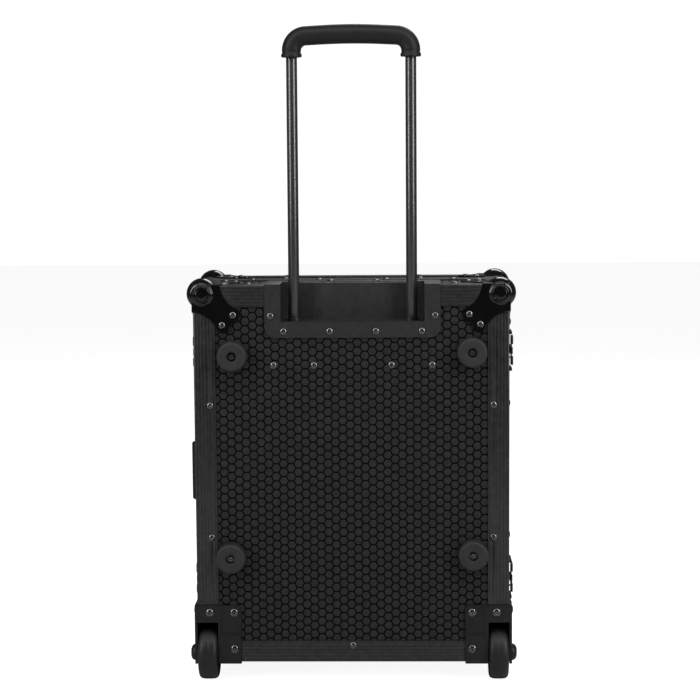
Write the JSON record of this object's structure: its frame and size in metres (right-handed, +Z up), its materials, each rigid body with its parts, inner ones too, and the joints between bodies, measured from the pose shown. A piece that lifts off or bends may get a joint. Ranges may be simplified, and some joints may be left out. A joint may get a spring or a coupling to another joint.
{
  "type": "rolling flight case",
  "caption": "Black rolling flight case: edged plywood base and lift-off lid, ball corners, corner wheels, pull-out trolley handle, rubber feet, sprung side handle and butterfly latches.",
  "frame": {"origin": "on the floor under the middle of the case's bounding box, standing on its wheels and standing feet", "axes": "+Z up along the trolley rods, -Y out of the base panel with its rubber feet, +Y towards the lid, +X to the right when facing the base panel"},
  "size_m": [0.442, 0.217, 0.8798],
  "materials": {
    "black_edging": "black anodised aluminium, finely grooved, satin",
    "black_steel": "black powder-coated stamped steel, semi-gloss",
    "ball_steel": "black glossy plated steel",
    "rivet_metal": "black nickel, semi-gloss",
    "hex_laminate": "plywood with a black hexagon-textured laminate",
    "plywood": "plywood with a black hexagon-textured laminate outside",
    "bare_plywood": "bare birch plywood",
    "tray_steel": "black powder-coated sheet steel, fine texture",
    "rod_metal": "black anodised aluminium tube, satin gloss",
    "grip_rubber": "matte moulded soft-touch rubber",
    "black_plastic": "matte moulded plastic",
    "tube_metal": "drawn aluminium tube, mill finish",
    "foot_rubber": "matte moulded rubber",
    "screw_steel": "zinc-plated steel",
    "tyre_rubber": "solid rubber, matte",
    "foam": "charcoal closed-cell foam lining",
    "spring_steel": "spring steel"
  },
  "bodies": {
    "base": {"base_panel": "hex_laminate", "base_side_walls": "plywood", "base_end_walls": "plywood", "false_floor": "bare_plywood", "floor_battens": "bare_plywood", "base_foam": "foam", "base_edge_trims": "black_edging", "base_rim": "black_edging", "base_ball_corners": "ball_steel", "base_rivets": "rivet_metal", "wheel_bracket_left": "black_steel", "wheel_bracket_right": "black_steel", "wheel_axles": "black_steel", "base_feet": "foot_rubber", "base_foot_screws": "screw_steel", "base_foot_washers": "screw_steel", "trolley_tray": "tray_steel", "guide_tubes": "tube_metal", "guide_collars": "black_plastic", "guide_clamps": "tube_metal", "tube_sockets": "black_plastic", "handle_dish": "black_steel", "latch_plates": "black_steel"},
    "trolley": {"trolley_rods": "rod_metal", "trolley_grip": "grip_rubber", "rod_bushes": "black_plastic"},
    "wheel_left": {"tyre_left": "tyre_rubber", "wheel_core_left": "black_plastic"},
    "wheel_right": {"tyre_right": "tyre_rubber", "wheel_core_right": "black_plastic"},
    "carry_handle": {"handle_bail": "black_steel", "handle_sleeve": "grip_rubber", "handle_springs": "spring_steel"},
    "lid": {"lid_panel": "hex_laminate", "lid_side_walls": "plywood", "lid_end_walls": "plywood", "lid_foam": "foam", "lid_edge_trims": "black_edging", "lid_rim": "black_edging", "lid_ball_corners": "ball_steel", "lid_rivets": "rivet_metal", "latch_keepers": "black_steel", "standing_feet": "foot_rubber", "standing_foot_screws": "screw_steel"},
    "latch_lower_left_spindle": {"latch_lower_left_spindle": "black_steel"},
    "latch_lower_left_hook": {"latch_lower_left_hook": "black_steel"},
    "latch_lower_left_wing_up": {"latch_lower_left_wing_up": "black_steel"},
    "latch_lower_left_wing_down": {"latch_lower_left_wing_down": "black_steel"},
    "latch_lower_right_spindle": {"latch_lower_right_spindle": "black_steel"},
    "latch_lower_right_hook": {"latch_lower_right_hook": "black_steel"},
    "latch_lower_right_wing_up": {"latch_lower_right_wing_up": "black_steel"},
    "latch_lower_right_wing_down": {"latch_lower_right_wing_down": "black_steel"},
    "latch_upper_left_spindle": {"latch_upper_left_spindle": "black_steel"},
    "latch_upper_left_hook": {"latch_upper_left_hook": "black_steel"},
    "latch_upper_left_wing_up": {"latch_upper_left_wing_up": "black_steel"},
    "latch_upper_left_wing_down": {"latch_upper_left_wing_down": "black_steel"},
    "latch_upper_right_spindle": {"latch_upper_right_spindle": "black_steel"},
    "latch_upper_right_hook": {"latch_upper_right_hook": "black_steel"},
    "latch_upper_right_wing_up": {"latch_upper_right_wing_up": "black_steel"},
    "latch_upper_right_wing_down": {"latch_upper_right_wing_down": "black_steel"}
  },
  "joints": [
    {"name": "trolley_slide", "type": "slide", "parent": "base", "child": "trolley", "axis": [0, 0, 1], "range_m": [-0.343, 0]},
    {"name": "lid_lift", "type": "slide", "parent": "base", "child": "lid", "axis": [0, 1, 0], "range_m": [0, 0.16]},
    {"name": "carry_handle_swing", "type": "hinge", "parent": "base", "child": "carry_handle", "pos_m": [-0.2134, -0.0116, 0.2795], "axis": [0, 0, -1], "range_deg": [0, 90], "stiffness_Nm_per_rad": 0.05},
    {"name": "wheel_left_spin", "type": "hinge", "parent": "base", "child": "wheel_left", "pos_m": [-0.1961, -0.0695, 0.036], "axis": [1, 0, 0], "continuous": true},
    {"name": "wheel_right_spin", "type": "hinge", "parent": "base", "child": "wheel_right", "pos_m": [0.1961, -0.0695, 0.036], "axis": [1, 0, 0], "continuous": true},
    {"name": "latch_lower_left_turn", "type": "hinge", "parent": "base", "child": "latch_lower_left_spindle", "pos_m": [-0.212, -0.0005, 0.1245], "axis": [-1, 0, 0], "range_deg": [0, 180]},
    {"name": "latch_lower_left_hook_pull", "type": "hinge", "parent": "base", "child": "latch_lower_left_hook", "pos_m": [-0.2127, -0.016, 0.1245], "axis": [0, 0, -1], "range_deg": [0, 2.5]},
    {"name": "latch_lower_left_wing_up_fold", "type": "hinge", "parent": "latch_lower_left_spindle", "child": "latch_lower_left_wing_up", "pos_m": [-0.2171, -0.0005, 0.1274], "axis": [0, -1, 0], "range_deg": [0, 80]},
    {"name": "latch_lower_left_wing_down_fold", "type": "hinge", "parent": "latch_lower_left_spindle", "child": "latch_lower_left_wing_down", "pos_m": [-0.2171, -0.0005, 0.1216], "axis": [0, 1, 0], "range_deg": [0, 80]},
    {"name": "latch_lower_right_turn", "type": "hinge", "parent": "base", "child": "latch_lower_right_spindle", "pos_m": [0.212, -0.0005, 0.1245], "axis": [1, 0, 0], "range_deg": [0, 180]},
    {"name": "latch_lower_right_hook_pull", "type": "hinge", "parent": "base", "child": "latch_lower_right_hook", "pos_m": [0.2127, -0.016, 0.1245], "axis": [0, 0, 1], "range_deg": [0, 2.5]},
    {"name": "latch_lower_right_wing_up_fold", "type": "hinge", "parent": "latch_lower_right_spindle", "child": "latch_lower_right_wing_up", "pos_m": [0.2171, -0.0005, 0.1274], "axis": [0, 1, 0], "range_deg": [0, 80]},
    {"name": "latch_lower_right_wing_down_fold", "type": "hinge", "parent": "latch_lower_right_spindle", "child": "latch_lower_right_wing_down", "pos_m": [0.2171, -0.0005, 0.1216], "axis": [0, -1, 0], "range_deg": [0, 80]},
    {"name": "latch_upper_left_turn", "type": "hinge", "parent": "base", "child": "latch_upper_left_spindle", "pos_m": [-0.212, -0.0005, 0.4405], "axis": [-1, 0, 0], "range_deg": [0, 180]},
    {"name": "latch_upper_left_hook_pull", "type": "hinge", "parent": "base", "child": "latch_upper_left_hook", "pos_m": [-0.2127, -0.016, 0.4405], "axis": [0, 0, -1], "range_deg": [0, 2.5]},
    {"name": "latch_upper_left_wing_up_fold", "type": "hinge", "parent": "latch_upper_left_spindle", "child": "latch_upper_left_wing_up", "pos_m": [-0.2171, -0.0005, 0.4434], "axis": [0, -1, 0], "range_deg": [0, 80]},
    {"name": "latch_upper_left_wing_down_fold", "type": "hinge", "parent": "latch_upper_left_spindle", "child": "latch_upper_left_wing_down", "pos_m": [-0.2171, -0.0005, 0.4376], "axis": [0, 1, 0], "range_deg": [0, 80]},
    {"name": "latch_upper_right_turn", "type": "hinge", "parent": "base", "child": "latch_upper_right_spindle", "pos_m": [0.212, -0.0005, 0.4405], "axis": [1, 0, 0], "range_deg": [0, 180]},
    {"name": "latch_upper_right_hook_pull", "type": "hinge", "parent": "base", "child": "latch_upper_right_hook", "pos_m": [0.2127, -0.016, 0.4405], "axis": [0, 0, 1], "range_deg": [0, 2.5]},
    {"name": "latch_upper_right_wing_up_fold", "type": "hinge", "parent": "latch_upper_right_spindle", "child": "latch_upper_right_wing_up", "pos_m": [0.2171, -0.0005, 0.4434], "axis": [0, 1, 0], "range_deg": [0, 80]},
    {"name": "latch_upper_right_wing_down_fold", "type": "hinge", "parent": "latch_upper_right_spindle", "child": "latch_upper_right_wing_down", "pos_m": [0.2171, -0.0005, 0.4376], "axis": [0, -1, 0], "range_deg": [0, 80]}
  ],
  "couplings": [
    {"joint": "latch_lower_left_hook_pull", "follows": "latch_lower_left_turn", "ratio": 0.013889},
    {"joint": "latch_lower_right_hook_pull", "follows": "latch_lower_right_turn", "ratio": 0.013889},
    {"joint": "latch_upper_left_hook_pull", "follows": "latch_upper_left_turn", "ratio": 0.013889},
    {"joint": "latch_upper_right_hook_pull", "follows": "latch_upper_right_turn", "ratio": 0.013889}
  ]
}
